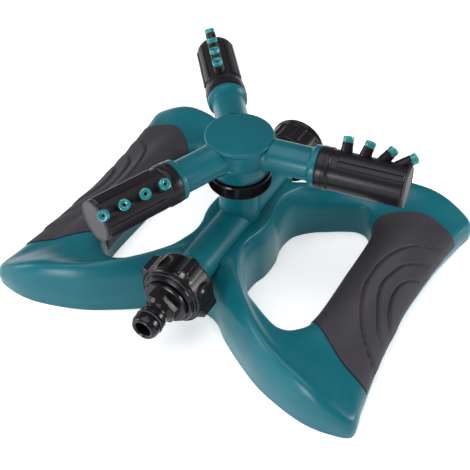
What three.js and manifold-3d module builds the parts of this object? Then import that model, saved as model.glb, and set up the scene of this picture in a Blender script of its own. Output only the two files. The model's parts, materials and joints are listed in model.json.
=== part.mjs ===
// Three-arm rotary garden sprinkler on a butterfly base with two hand holes.
// Millimetres, +Z up. The rotor turns on the Z axis, the water pipe lies along Y with its hose
// nose at -Y, the two wings of the base reach out along X, and the ground is z = 0.
import * as THREE from 'three';
import { mergeVertices } from 'three/addons/utils/BufferGeometryUtils.js';
import Module from 'manifold-3d';

const wasm = await Module();
wasm.setup();

// ---- driving dimensions ----
const GAP = 0.3;              // clearance between neighbouring pieces
const SKIN = 2.6;             // wall of the moulded base
const GRIP_DEPTH = 1.6;       // how deep the soft grips sit in the base
const GRIP_PROUD = 0.6;       // how far they stand above it

const PIPE_Z = 37;            // height of the pipe's axis
const PIPE_R = 10.8;
const PIPE_BORE = 8.2;
const PIPE_FRONT = -61;       // where the pipe's thread starts, at the inlet
const PIPE_BACK = 64.5;       // the same at the closed end
const THREAD_R = 13.2;        // 3/4 inch thread, as a plain cylinder
const THREAD_LENGTH = 11;
const PIPE_END_R = 11.4;      // the pipe swells to this behind each thread

// Union nut at the inlet and closing cap at the far end; places are distances along the pipe.
const NUT = { back: 62, front: 80, r: 18.6, lobeR: 22.2, rootR: 14.2, bore: 13.6, lip: 76.5, lipBore: 10.2 };
const NUT_LOBES = 4;
const NUT_TURN = 22;          // angle of the first lobe from upright towards +X
const END = { start: 59.4, end: 81, r: 17.6, rim: 76.4, rimR: 18.4, bore: 13.6, floor: 77.8, flutes: 12 };

const SCREW_Y = 27;           // the two screws that hold the pipe down in its trough
const SCREW_PLACES = [-SCREW_Y, SCREW_Y];
const BOSS_R = 4.4;
const BOSS_Z = 20.5;
const POST_R = 9;             // post under the rotor, from the ground to the pipe
const TROUGH_REACH = 43;      // half length of the trough that the pipe lies in
const RIB = 1.8;              // thickness of the ribs and, nearly, of the webs under the base
const RIB_FOOT = 0.8;         // ribs and webs stop this far above the ground

const RISER_R = 12.3;
const RISER_BORE = 10.3;
const NECK_Z = 64.6;          // threaded neck that the retaining ring screws onto
const NECK_R = 14.7;
const NECK_TOP = 67.8;

const RING = { bottom: 64, top: 73, r: 18.8, bore: 15.1, lip: 71.2, lipBore: 9.4 };

const ARM_Z = 88.2;           // height of the arms' axes
const ARM_ANGLES = [248.6, 8.6, 128.6];   // left, right and back arm, degrees from +X
const ARM_TWISTS = [42, 32, 12];          // how far each barrel is turned from upright
const ARM_R = 9.7;
const ARM_BORE = 6.2;
const COLLAR = { start: 44.2, end: 47.6, r: 12 };
const SPIGOT = { end: 72, r: 8.6 };
const HUB = { bottom: 73.6, footR: 17.4, shoulder: 84.8, top: 94.9, r: 19.2, cavity: 12 };
const CAP = { r: 19.8, bottom: 95.2, rim: 97.6, crown: 98.9 };

const BARREL = { start: 47.9, end: 96.6, r: 11.8, band: 7, bandR: 12.3, bore: 9.1 };
const END_CAP = { inner: 96.9, outer: 98.4, r: 11.7 };
const NOZZLE_PLACES = [61, 71.7, 82.4, 93.1];   // along the arm
const NOZZLE_TILTS = [-3, 12, 32, 51];          // outward lean, degrees
const STUB = { r: 3.2, reach: 16.8, bore: 1.4 };
const TIP = { r: 3.1, height: 2.9, bore: 0.9 };

// ---- solids ----

// Merges a geometry's shared corners, drops its empty triangles and turns it to face outwards.
function closed(geometry) {
  const loose = geometry.clone();
  loose.deleteAttribute('normal');
  loose.deleteAttribute('uv');
  const merged = mergeVertices(loose, 1e-4);
  const p = merged.attributes.position;
  const [a, b, c] = [new THREE.Vector3(), new THREE.Vector3(), new THREE.Vector3()];
  const faces = [];
  let volume = 0;
  for (let i = 0; i < merged.index.count; i += 3) {
    const corners = [0, 1, 2].map((k) => merged.index.getX(i + k));
    if (new Set(corners).size < 3) continue;
    a.fromBufferAttribute(p, corners[0]);
    b.fromBufferAttribute(p, corners[1]);
    c.fromBufferAttribute(p, corners[2]);
    volume += a.dot(b.cross(c));
    faces.push(corners);
  }
  if (volume < 0) faces.forEach((face) => face.reverse());
  merged.setIndex(faces.flat());
  return merged;
}

function solid(geometry) {
  const shape = closed(geometry);
  return new wasm.Manifold(new wasm.Mesh({
    numProp: 3,
    vertProperties: new Float32Array(shape.attributes.position.array),
    triVerts: new Uint32Array(shape.index.array),
  }));
}

function toGeometry(manifold) {
  const mesh = manifold.getMesh();
  const geometry = new THREE.BufferGeometry();
  geometry.setAttribute('position', new THREE.BufferAttribute(mesh.vertProperties, 3));
  geometry.setIndex(new THREE.BufferAttribute(mesh.triVerts, 1));
  return geometry;
}

const joined = (solids) => solids.reduce((sum, next) => sum.add(next));

// A solid of revolution about +Z from [radius, height] corners; the outline closes on itself.
function turned(outline, sides = 20) {
  const corners = [...outline, outline[0]].map(([r, z]) => new THREE.Vector2(r, z));
  return solid(new THREE.LatheGeometry(corners, sides).rotateX(Math.PI / 2));
}

const tube = (r, bore, z0, z1, sides) =>
  turned([[bore, z0], [r, z0], [r, z1], [bore, z1]], sides);

function rod(r, z0, z1, sides = 20) {
  return solid(new THREE.CylinderGeometry(r, r, z1 - z0, sides)
    .rotateX(Math.PI / 2).translate(0, 0, (z0 + z1) / 2));
}

function block(x0, x1, y0, y1, z0, z1) {
  return solid(new THREE.BoxGeometry(x1 - x0, y1 - y0, z1 - z0)
    .translate((x0 + x1) / 2, (y0 + y1) / 2, (z0 + z1) / 2));
}

// Turns a piece made on +Z so that it lies along +Y on the pipe's axis, heights becoming y.
const onPipe = (manifold) => manifold.rotate([-90, 0, 0]).translate([0, 0, PIPE_Z]);

// ---- base: one wing is lofted through stations round its hand hole ----

// Each station of the front right quarter: the foot of the hole's wall, the crest beside the
// hole, the ridge of the outer wall and the foot of that wall. y is counted towards the front.
// The last value is how far the outer wall bellies out.
const CENTRE = -1;            // the wings overlap a little on the middle plane
const STATIONS = [
  { hole: [22.1, 0], crest: [20.7, 0, 32], ridge: [18.5, 0, 38.3], foot: [CENTRE, 0, 38.5], belly: 0 },
  { hole: [21.6, 8], crest: [20.1, 8, 32], ridge: [17.8, 8.5, 38.3], foot: [CENTRE, 11, 38.5], belly: 0 },
  { hole: [19.5, 16], crest: [17.8, 16.5, 32], ridge: [15.5, 17.5, 38.2], foot: [CENTRE, 22, 38.5], belly: 0 },
  { hole: [19.3, 25], crest: [17.4, 25.5, 32], ridge: [15.2, 26.5, 38.2], foot: [CENTRE, 34, 38.3], belly: 0 },
  { hole: [21.3, 32.5], crest: [20.3, 33.5, 31], ridge: [17.6, 35, 37.8], foot: [CENTRE, 46.5, 36], belly: 0 },
  { hole: [25.5, 38], crest: [24.3, 39, 28], ridge: [20.5, 41.5, 37], foot: [CENTRE, 50.5, 0], belly: 0 },
  { hole: [31, 43], crest: [29.8, 45, 25.5], ridge: [26.5, 48.5, 35.8], foot: [14.5, 54.6, 0], belly: 0.8 },
  { hole: [38, 47.5], crest: [38.2, 49.5, 24], ridge: [35, 58, 34.8], foot: [26.6, 64.7, 0], belly: 0.8 },
  { hole: [46.5, 52.6], crest: [47.3, 54.5, 23.5], ridge: [48, 69.5, 33.6], foot: [43.6, 76.1, 0], belly: 0.8 },
  { hole: [55, 56.3], crest: [56.3, 58, 23], ridge: [62, 78.8, 32], foot: [59.5, 84.9, 0], belly: 0.8 },
  { hole: [61, 55.5], crest: [63.3, 57.3, 23], ridge: [76.5, 85, 30.2], foot: [77, 91, 0], belly: 0.8 },
  { hole: [65.8, 51.3], crest: [70, 53, 23.7], ridge: [91.5, 88.5, 27], foot: [93.5, 94.3, 0], belly: 0.8 },
  { hole: [68.8, 46], crest: [75.5, 48.5, 24.7], ridge: [104.5, 89, 21], foot: [107.5, 93.5, 0], belly: 0.9 },
  { hole: [70, 41], crest: [79, 43.5, 25.7], ridge: [114, 85, 14.8], foot: [119, 89.2, 0], belly: 1 },
  { hole: [70.6, 34], crest: [81.5, 35.5, 26.3], ridge: [113, 71, 14.3], foot: [116.9, 74, 0], belly: 1.5 },
  { hole: [70.7, 22], crest: [83, 22.5, 26.6], ridge: [109.8, 45, 14.4], foot: [112, 46, 0], belly: 2.5 },
  { hole: [70.6, 10], crest: [83.3, 10.3, 26.7], ridge: [107.8, 21, 14.5], foot: [109.2, 21, 0], belly: 3 },
  { hole: [70.5, 0], crest: [83.3, 0, 26.7], ridge: [107.4, 0, 14.5], foot: [108.2, 0, 0], belly: 3 },
];
const ACROSS = 10;            // steps across the wing's skin

// The rounded section of the skin at one station, from the hole's foot to the outer foot.
// side is -1 for the front half of the wing and 1 for the back half.
function section({ hole, crest, ridge, foot, belly }, side) {
  const place = ([x, y, z = 0]) => new THREE.Vector3(x, side * y, z);
  const [h, c, r, f] = [hole, crest, ridge, foot].map(place);
  const rim = h.clone().lerp(c, 0.25).setZ(0.82 * c.z);
  const slope = c.clone().lerp(r, 0.5);
  slope.z += foot[0] === CENTRE ? 1.2 : -0.5;
  const outward = f.clone().sub(r).setZ(0).normalize().multiplyScalar(belly);
  const wallTop = r.clone().lerp(f, 0.6).addScaledVector(outward, 0.8);
  wallTop.z = f.z + 0.82 * (r.z - f.z);
  const wall = r.clone().lerp(f, 0.92).add(outward);
  wall.z = f.z + 0.45 * (r.z - f.z);
  const curve = new THREE.CatmullRomCurve3([h, rim, c, slope, r, wallTop, wall, f]);
  const points = curve.getPoints(ACROSS);
  points.forEach((point) => point.setZ(Math.max(point.z, 0)));
  return points;
}

const backHalf = STATIONS.slice(1, -1).reverse().map((station) => section(station, 1));
const sections = [...STATIONS.map((station) => section(station, -1)), ...backHalf];

// Outward direction of the skin at every point, level at the feet so that they stay on z = 0.
const outwards = sections.map((row, i) => row.map((point, j) => {
  const next = sections[(i + 1) % sections.length][j];
  const last = sections[(i + sections.length - 1) % sections.length][j];
  const along = next.clone().sub(last);
  const across = row[Math.min(j + 1, ACROSS)].clone().sub(row[Math.max(j - 1, 0)]);
  const normal = along.cross(across).normalize().negate();
  if (point.z < 0.5) normal.setZ(0).normalize();
  if (point.x === CENTRE) normal.setX(0).normalize();
  return normal;
}));

// The wing's outer surface moved by a distance along its outward direction.
const surface = (distance) => sections.map((row, i) =>
  row.map((point, j) => point.clone().addScaledVector(outwards[i][j], distance)));

// A ring-shaped solid from one closed loop of points per station.
function ringSolid(loops) {
  const n = loops[0].length;
  const index = [];
  loops.forEach((loop, i) => loop.forEach((point, j) => {
    const [a, b] = [i * n + j, i * n + (j + 1) % n];
    const next = ((i + 1) % loops.length) * n;
    const [c, d] = [next + j, next + (j + 1) % n];
    index.push(a, b, d, a, d, c);
  }));
  const geometry = new THREE.BufferGeometry().setFromPoints(loops.flat());
  geometry.setIndex(index);
  return solid(geometry);
}

const everySecond = (row) => row.filter((_, j) => j % 2 === 0);

// The layer of the wing between two distances from its outer surface. Its inner side, which is
// out of sight, has every second point.
function layer(outer, inner) {
  const inside = surface(inner).map(everySecond);
  return ringSolid(surface(outer).map((row, i) => [...row, ...inside[i].reverse()]));
}

const ROOM_INSET = GRIP_DEPTH + 0.6;     // the ribs reach into the skin by the rest of its thickness
const wingFilled = ringSolid(surface(-ROOM_INSET).map(everySecond));
const bothSides = (right) => right.add(right.mirror([1, 0, 0]));

// Plan outline of a grip; the reach past the skin at the hole and at the rim is cut by height.
function gripPlan(grow) {
  const shape = new THREE.Shape();
  const [inner, outer] = [66, 124];
  shape.moveTo(inner, -40 - grow);
  shape.lineTo(75, -46 - grow);
  shape.quadraticCurveTo(84, -52 - grow, 95, -58.5 - grow);
  shape.quadraticCurveTo(106, -64.5 - grow, outer, -68 - grow);
  shape.lineTo(outer, 60 + grow);
  shape.quadraticCurveTo(115 + grow, 68.5 + grow, 104 + grow, 71 + grow);
  shape.quadraticCurveTo(93, 72.5 + grow, 85, 66.5 + grow);
  shape.quadraticCurveTo(77 - grow, 60.5 + grow, inner, 47 + grow);
  const height = 40;
  const rimHeight = 9;        // the base shows as a thin rim below the grip
  const settings = { depth: height, bevelEnabled: false, curveSegments: 5 };
  return solid(new THREE.ExtrudeGeometry(shape, settings).translate(0, 0, rimHeight - grow));
}

const rightGrip = layer(GRIP_PROUD, -GRIP_DEPTH + GAP).intersect(gripPlan(0));
const POCKET_HEADROOM = 4;    // the pocket's cutter stands this far above the skin
const POCKET_SEAM = 1.4 * GAP;
const gripPocket = layer(POCKET_HEADROOM, -GRIP_DEPTH).intersect(gripPlan(POCKET_SEAM));

function baseShell() {
  const ribTop = 34;
  const gripRibs = [-34, 0, 34].map((y) => block(68, 115, y - RIB / 2, y + RIB / 2, RIB_FOOT, ribTop));
  const wallRibs = [40, 62].flatMap((x) => [[-100, -45], [45, 100]].map(([y0, y1]) =>
    block(x - RIB / 2, x + RIB / 2, y0, y1, RIB_FOOT, ribTop)));
  const ribs = [...gripRibs, ...wallRibs];
  const wing = layer(0, -SKIN).subtract(gripPocket).add(joined(ribs).intersect(wingFilled));
  const trough = tube(PIPE_R + GAP + SKIN, PIPE_R + GAP, -TROUGH_REACH, TROUGH_REACH, 24).rotate([-90, 0, 0])
    .translate([0, 0, PIPE_Z]).intersect(block(-20, 20, -60, 60, 0, PIPE_Z + 1));
  const post = rod(POST_R, 0, PIPE_Z - 8, 16);
  const headSeat = 9.5;       // where the screw heads bear
  const webs = [
    block(-20, 20, -1, 1, RIB_FOOT, 30),
    block(-1, 1, -49, 49, RIB_FOOT, 27),
    ...SCREW_PLACES.map((y) => block(-17.8, 17.8, y - 1, y + 1, RIB_FOOT, 30)),
    ...SCREW_PLACES.map((y) => rod(7, headSeat, 27, 14).translate([0, y, 0])),
  ];
  const clear = [
    onPipe(rod(PIPE_R + GAP, -60, 60, 24)),
    rod(RISER_R + GAP, PIPE_Z - 2, 60, 28),
    ...SCREW_PLACES.flatMap((y) => [
      rod(BOSS_R + GAP, BOSS_Z - GAP, 40, 14).translate([0, y, 0]),
      rod(2.2, 0, 30, 8).translate([0, y, 0]),
      rod(5, -1, headSeat, 14).translate([0, y, 0]),
    ]),
  ];
  return joined([bothSides(wing), trough, post, ...webs]).subtract(joined(clear));
}

// ---- pipe, riser and what closes them ----

function waterTee() {
  const outline = [
    [0, PIPE_FRONT - THREAD_LENGTH], [THREAD_R, PIPE_FRONT - THREAD_LENGTH],
    [THREAD_R, PIPE_FRONT - 1.5], [PIPE_END_R, PIPE_FRONT], [PIPE_END_R, PIPE_FRONT + 3],
    [PIPE_R, PIPE_FRONT + 8], [PIPE_R, PIPE_BACK - 8], [PIPE_END_R, PIPE_BACK - 3],
    [PIPE_END_R, PIPE_BACK], [THREAD_R, PIPE_BACK + 1.5], [THREAD_R, PIPE_BACK + THREAD_LENGTH],
    [0, PIPE_BACK + THREAD_LENGTH],
  ];
  const riser = turned([
    [0, PIPE_Z], [RISER_R, PIPE_Z], [RISER_R, NECK_Z - 1.2], [NECK_R, NECK_Z],
    [NECK_R, NECK_TOP], [0, NECK_TOP],
  ], 28);
  const bosses = SCREW_PLACES.map((y) => rod(BOSS_R, BOSS_Z, PIPE_Z - 8.6, 14).translate([0, y, 0]));
  const screwHoles = SCREW_PLACES.map((y) => rod(1.9, 0, 27.2, 8).translate([0, y, 0]));
  const bore = onPipe(rod(PIPE_BORE, -90, 90));
  const riserBore = rod(RISER_BORE, 49, 80).add(rod(PIPE_BORE, PIPE_Z, 50));
  return joined([onPipe(turned(outline, 28)), riser, ...bosses])
    .subtract(joined([bore, riserBore, ...screwHoles]));
}

function teeScrew(y) {
  const head = turned([[0, 6.6], [2.6, 6.6], [3.8, 7.8], [3.8, 9.2], [0, 9.2]], 12);
  const slot = block(-2, 2, -0.5, 0.5, 6, 7.6);
  const crossSlot = block(-0.5, 0.5, -2, 2, 6, 7.6);
  return head.add(rod(1.6, 9, 26.4, 8)).subtract(slot.add(crossSlot)).translate([0, y, 0]);
}

// The ring's rim carries fine upright grip ribs.
function retainingRing() {
  const ribs = 20;
  const outline = [
    [RING.bore, RING.bottom], [RING.r - 1, RING.bottom], [RING.r, RING.bottom + 1],
    [RING.r, RING.top - 1], [RING.r - 1, RING.top], [RING.lipBore, RING.top],
    [RING.lipBore, RING.lip], [RING.bore, RING.lip],
  ];
  const groove = rod(0.8, RING.bottom + 1.6, RING.top - 1.6, 4).translate([RING.r + 0.1, 0, 0]);
  const grooves = Array.from({ length: ribs }, (_, k) => groove.rotate([0, 0, (k * 360) / ribs]));
  return turned(outline, ribs).subtract(joined(grooves));
}

// Union nut with four broad lobes and a thumb scoop between each pair.
function inletNut() {
  const outline = [
    [NUT.bore, NUT.back], [NUT.r - 0.8, NUT.back], [NUT.r, NUT.back + 1.2],
    [NUT.r - 0.6, NUT.front - 3], [15.6, NUT.front], [15, NUT.front + 1.8],
    [NUT.lipBore, NUT.front + 1.8], [NUT.lipBore, NUT.lip], [NUT.bore, NUT.lip],
  ];
  const shape = new THREE.Shape();
  const half = 0.2;           // half angle of a lobe's flat top, radians
  shape.moveTo(NUT.rootR * Math.cos(-3 * half), NUT.rootR * Math.sin(-3 * half));
  shape.lineTo(NUT.lobeR * Math.cos(-half), NUT.lobeR * Math.sin(-half));
  shape.absarc(0, 0, NUT.lobeR, -half, half, false);
  shape.lineTo(NUT.rootR * Math.cos(3 * half), NUT.rootR * Math.sin(3 * half));
  const lobe = solid(new THREE.ExtrudeGeometry(shape, {
    depth: NUT.front - NUT.back - 4.4, bevelEnabled: true, bevelThickness: 1, bevelSize: 1,
    bevelOffset: -1, bevelSegments: 1, curveSegments: 4,
  }).translate(0, 0, NUT.back + 1));
  const scoop = solid(new THREE.SphereGeometry(5.5, 10, 6)).translate([NUT.r + 3.4, 0, 71]);
  const step = 360 / NUT_LOBES;
  const around = (piece, offset) => Array.from({ length: NUT_LOBES }, (_, k) =>
    piece.rotate([0, 0, offset + k * step]));
  const bore = rod(NUT.bore, NUT.back - 1, NUT.lip, 32);
  const body = turned(outline, 32).add(joined(around(lobe, 0)).subtract(bore))
    .subtract(joined(around(scoop, step / 2)));
  return onPipe(body.rotate([0, 0, 90 + NUT_TURN]).mirror([0, 0, 1]));
}

const frontPiece = (outline, sides) => onPipe(turned(outline, sides).mirror([0, 0, 1]));

// Quick-connect nose: flange held by the nut, a hexagon and the grooved nose.
function inletConnector() {
  const body = [
    [4.7, 74.2], [13, 74.2], [13, 76.2], [9.8, 76.2], [9.8, 82.2], [13.3, 82.2], [13.3, 83.6],
    [12.4, 84.6], [9, 84.6], [8.6, 89.8], [7.6, 91.2], [6.4, 92.4], [6.4, 94.4], [8, 95.6],
    [8, 98.2], [7.1, 98.4], [7.1, 101], [8, 101.2], [8, 103.4], [7.4, 105.6], [6.6, 106.7],
    [5.4, 106.7], [4.7, 105.9],
  ];
  const hexagon = rod(10.2, 84.4, 89.6, 6).subtract(rod(6, 80, 95, 16)).mirror([0, 0, 1]);
  return frontPiece(body, 20).add(onPipe(hexagon.rotate([0, 0, 15])));
}

// Closing cap of the pipe's far end, fluted like a bottle cap, with a low dome.
function outletCap() {
  const outline = [
    [END.bore, END.start], [END.r - 0.6, END.start], [END.r, END.start + 0.8], [END.r, END.rim - 0.4],
    [END.rimR, END.rim], [END.rimR, END.rim + 1.8], [END.rimR - 1.4, END.rim + 3], [11, END.end - 0.5],
    [0, END.end], [0, END.floor], [END.bore, END.floor],
  ];
  const flute = rod(2.6, END.start + 2.4, END.rim - 1.6, 8).translate([END.r + 1.5, 0, 0]);
  const around = Array.from({ length: END.flutes }, (_, k) =>
    flute.rotate([0, 0, (k * 360) / END.flutes]));
  return onPipe(turned(outline, 24).subtract(joined(around)));
}

// ---- rotor ----

const spindle = turned([
  [5.2, 52], [8.2, 52], [8.2, 58], [7.3, 58], [7.3, 60], [8.2, 60], [8.2, 69.3], [13.8, 69.3],
  [13.8, 70.8], [8.2, 70.8], [8.2, 81], [5.2, 81],
]);
const riserBush = tube(10, 8.6, 49.4, 67.4, 20);
const spindleSeal = tube(8.4, 7.7, 58.3, 59.7, 12);
const thrustWasher = tube(14.2, 8.6, 68.1, 68.9, 20);

// Places a piece made on +Z along an arm: its heights become distances from the rotor's axis.
const onArm = (manifold, angle) => manifold.rotate([0, 90, 0]).rotate([0, 0, angle])
  .translate([0, 0, ARM_Z]);

function rotorBody() {
  const arms = ARM_ANGLES.map((angle) => onArm(turned([
    [0, 0], [ARM_R, 0], [ARM_R, COLLAR.start - 0.8], [COLLAR.r, COLLAR.start],
    [COLLAR.r, COLLAR.end], [SPIGOT.r, COLLAR.end], [SPIGOT.r, 65.8], [7.6, 65.8], [7.6, 68.2],
    [SPIGOT.r, 68.2], [SPIGOT.r, SPIGOT.end], [0, SPIGOT.end],
  ], 20), angle));
  const bores = ARM_ANGLES.map((angle) => onArm(rod(ARM_BORE, 0, 90, 12), angle));
  const barrel = turned([[0, HUB.bottom], [HUB.footR - 0.6, HUB.bottom], [HUB.footR, HUB.bottom + 0.6],
    [HUB.r, HUB.shoulder], [HUB.r, HUB.top], [0, HUB.top]], 28);
  const capSeat = rod(CAP.r + GAP, HUB.top, 110, 28);
  const cavity = rod(HUB.cavity, 81.4, 100).add(rod(8.5, 70, 82));
  return joined([barrel, ...arms]).subtract(joined([capSeat, cavity, ...bores]));
}

const hubCap = turned([
  [0, 93.4], [HUB.cavity - GAP, 93.4], [HUB.cavity - GAP, CAP.bottom], [CAP.r - 0.5, CAP.bottom],
  [CAP.r, CAP.bottom + 0.6], [CAP.r, CAP.rim], [CAP.r - 1.2, CAP.rim + 0.7], [12, 98.7],
  [0, CAP.crown],
], 28);

const armSeal = tube(8.8, 8, 66.2, 67.8, 12);

// A nozzle's own frame: its base on the arm's axis, +Z along the jet. The pieces are made with
// the nozzle row upright and then turned with their barrel.
const onJet = (manifold, k) => {
  const lean = THREE.MathUtils.degToRad(NOZZLE_TILTS[k]);
  const offAxis = NOZZLE_PLACES[k] - BARREL.r * Math.tan(lean);
  return manifold.translate([0, 0, BARREL.r / Math.cos(lean) - BARREL.r])
    .rotate([0, NOZZLE_TILTS[k], 0]).translate([offAxis, 0, 0]);
};
const onBarrel = (manifold, arm) => manifold.rotate([-ARM_TWISTS[arm], 0, 0])
  .rotate([0, 0, ARM_ANGLES[arm]]).translate([0, 0, ARM_Z]);

function barrel(arm) {
  const sleeve = turned([
    [BARREL.bore, BARREL.start], [BARREL.bandR - 0.5, BARREL.start], [BARREL.bandR, BARREL.start + 0.5],
    [BARREL.bandR, BARREL.start + BARREL.band], [BARREL.r, BARREL.start + BARREL.band + 0.4],
    [BARREL.r, BARREL.end], [BARREL.bore, BARREL.end],
  ], 20).rotate([0, 90, 0]);
  const chamber = rod(BARREL.bore, 0, 120).rotate([0, 90, 0]);
  const places = NOZZLE_PLACES.map((_, k) => k);
  const stubs = places.map((k) => onJet(rod(STUB.r, 4, STUB.reach, 8), k));
  const jets = places.map((k) => onJet(rod(STUB.bore, 4, STUB.reach + 2, 4), k));
  const endRoom = rod(END_CAP.r + GAP, BARREL.end, END_CAP.outer + GAP, 20).rotate([0, 90, 0]);
  const hollow = joined([chamber, endRoom, ...jets]);
  return onBarrel(sleeve.add(joined(stubs)).subtract(hollow), arm);
}

const barrelEndCap = (arm) => onArm(turned([
  [0, 94.6], [BARREL.bore - GAP, 94.6], [BARREL.bore - GAP, END_CAP.inner],
  [END_CAP.r, END_CAP.inner], [END_CAP.r, END_CAP.outer - 0.4], [END_CAP.r - 0.4, END_CAP.outer],
  [0, END_CAP.outer],
], 16), ARM_ANGLES[arm]);

function nozzleTip(arm, k) {
  const start = STUB.reach + GAP;
  const outline = [
    [TIP.bore, start], [TIP.r, start], [TIP.r, start + TIP.height - 0.5],
    [TIP.r - 0.5, start + TIP.height], [1.6, start + TIP.height], [TIP.bore, start + TIP.height - 1],
  ];
  return onBarrel(onJet(turned(outline, 8), k), arm);
}

// ---- assembly ----

const paint = (color, roughness) => new THREE.MeshStandardMaterial({ color, roughness, metalness: 0 });
const finishes = {
  teal: paint(0x17616a, 0.42),
  black: paint(0x1d1b1f, 0.35),
  grip: paint(0x3d3a42, 0.68),
  nozzle: paint(0x2bb3b3, 0.3),
  bearing: paint(0xd8d5c8, 0.5),
  seal: paint(0x111111, 0.8),
  steel: new THREE.MeshStandardMaterial({ color: 0x9a9da1, roughness: 0.3, metalness: 1 }),
};

const sprinkler = new THREE.Group();

function add(name, finish, manifold) {
  const mesh = new THREE.Mesh(toGeometry(manifold), finishes[finish]);
  mesh.name = name;
  sprinkler.add(mesh);
}

add('base_shell', 'teal', baseShell());
add('right_grip', 'grip', rightGrip);
add('left_grip', 'grip', rightGrip.mirror([1, 0, 0]));

add('water_tee', 'teal', waterTee());
add('tee_screw_front', 'steel', teeScrew(-SCREW_Y));
add('tee_screw_back', 'steel', teeScrew(SCREW_Y));
add('retaining_ring', 'black', retainingRing());
add('riser_bush', 'bearing', riserBush);
add('thrust_washer', 'bearing', thrustWasher);

add('inlet_nut', 'black', inletNut());
add('inlet_connector', 'black', inletConnector());
add('inlet_washer', 'seal', frontPiece([[8.4, 72.4], [12.8, 72.4], [12.8, 73.9], [8.4, 73.9]], 20));
add('connector_o_ring', 'seal', frontPiece([[7.4, 98.9], [8.2, 98.9], [8.2, 100.5], [7.4, 100.5]], 12));
add('outlet_cap', 'black', outletCap());
add('outlet_washer', 'seal', onPipe(tube(13.1, 4, 75.9, 77.4, 20)));

add('spindle', 'bearing', spindle);
add('spindle_o_ring', 'seal', spindleSeal);
add('rotor_body', 'teal', rotorBody());
add('hub_cap', 'teal', hubCap);

['left', 'right', 'back'].forEach((side, arm) => {
  add(`${side}_arm_o_ring`, 'seal', onArm(armSeal, ARM_ANGLES[arm]));
  add(`${side}_barrel`, 'black', barrel(arm));
  add(`${side}_barrel_end_cap`, 'black', barrelEndCap(arm));
  NOZZLE_PLACES.forEach((_, k) => add(`${side}_nozzle_${k + 1}`, 'nozzle', nozzleTip(arm, k)));
});

export default sprinkler;
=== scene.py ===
import json
import math
import bpy
from mathutils import Matrix, Vector

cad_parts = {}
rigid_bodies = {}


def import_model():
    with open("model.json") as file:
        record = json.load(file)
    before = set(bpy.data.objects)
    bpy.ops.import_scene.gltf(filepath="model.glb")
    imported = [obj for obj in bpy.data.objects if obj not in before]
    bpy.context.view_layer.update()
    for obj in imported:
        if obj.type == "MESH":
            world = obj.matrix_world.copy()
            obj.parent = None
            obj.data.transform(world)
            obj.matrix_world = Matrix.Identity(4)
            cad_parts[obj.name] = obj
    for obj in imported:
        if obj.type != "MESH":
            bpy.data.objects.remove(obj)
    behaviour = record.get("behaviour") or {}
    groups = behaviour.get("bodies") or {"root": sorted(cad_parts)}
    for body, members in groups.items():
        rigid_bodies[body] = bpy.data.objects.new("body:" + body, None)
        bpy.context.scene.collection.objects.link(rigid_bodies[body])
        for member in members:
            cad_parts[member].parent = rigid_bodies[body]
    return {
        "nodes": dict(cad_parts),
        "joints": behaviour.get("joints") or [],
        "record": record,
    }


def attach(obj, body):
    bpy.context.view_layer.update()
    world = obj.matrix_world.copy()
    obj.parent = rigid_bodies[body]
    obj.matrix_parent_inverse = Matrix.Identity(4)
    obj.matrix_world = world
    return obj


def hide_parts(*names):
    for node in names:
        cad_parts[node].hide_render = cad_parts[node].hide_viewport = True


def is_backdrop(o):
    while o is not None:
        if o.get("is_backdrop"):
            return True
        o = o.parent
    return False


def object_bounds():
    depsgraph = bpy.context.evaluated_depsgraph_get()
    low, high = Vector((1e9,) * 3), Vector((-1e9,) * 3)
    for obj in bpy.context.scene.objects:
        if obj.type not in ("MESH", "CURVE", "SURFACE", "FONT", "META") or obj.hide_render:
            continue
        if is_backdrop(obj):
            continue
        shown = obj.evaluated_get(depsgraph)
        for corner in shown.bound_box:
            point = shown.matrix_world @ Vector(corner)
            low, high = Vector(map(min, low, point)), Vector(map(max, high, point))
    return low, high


bpy.ops.object.select_all(action="SELECT")
bpy.ops.object.delete()
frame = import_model()
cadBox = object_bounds()

# Pieces are made in millimetres, in the frame's own directions, and scaled to metres at the end.
millimetre = 0.001
behaviour = frame["record"]["behaviour"]
joints = {joint["name"]: joint for joint in frame["joints"]}
bodyOf = {node: body for body, nodes in behaviour["bodies"].items() for node in nodes}
slotOf = {part["node"]: part["material_slot"] for part in frame["record"]["subparts"]}
pipeHeight = joints["inlet_nut_spin"]["pos_m"][2] / millimetre
armHeight = joints["rotor_spin"]["pos_m"][2] / millimetre


# ---- camera and studio ----

camera = {
    "place": (0.2219, -0.3890, 0.4465),
    "azimuth": 30.09, "elevation": 43.66, "roll": -0.5, "lens": 76.7,
}
studio = {
    "floor": (0.93, 0.94, 0.95),
    "floorGlow": 0.4,          # washes the shadows out of the paper, as a light table does
    "room": (1.0, 1.0, 1.0, 1.0),
    "roomStrength": 0.25,
    "lamps": (  # place, size, watts: overhead tent, then low boxes in front, right and left
        ((-0.1, -0.2, 1.1), 1.1, 10),
        ((-0.12, -1.1, 0.2), 0.3, 6),
        ((0.95, 0.4, 0.34), 0.35, 7),
        ((-0.9, -0.5, 0.35), 0.5, 5),
    ),
}


def makeCamera():
    azimuth, elevation, roll = (math.radians(camera[key]) for key in ("azimuth", "elevation", "roll"))
    back = Vector((math.sin(azimuth) * math.cos(elevation), -math.cos(azimuth) * math.cos(elevation),
                   math.sin(elevation)))
    right = Vector((math.cos(azimuth), math.sin(azimuth), 0))
    turned = Matrix((right, back.cross(right), back)).transposed() @ Matrix.Rotation(roll, 3, "Z")
    bpy.ops.object.camera_add(location=camera["place"])
    made = bpy.context.object
    made.rotation_euler = turned.to_euler()
    made.data.lens = camera["lens"]
    made.data.sensor_width = 36
    made.data.clip_start = 0.01
    bpy.context.scene.camera = made


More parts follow.
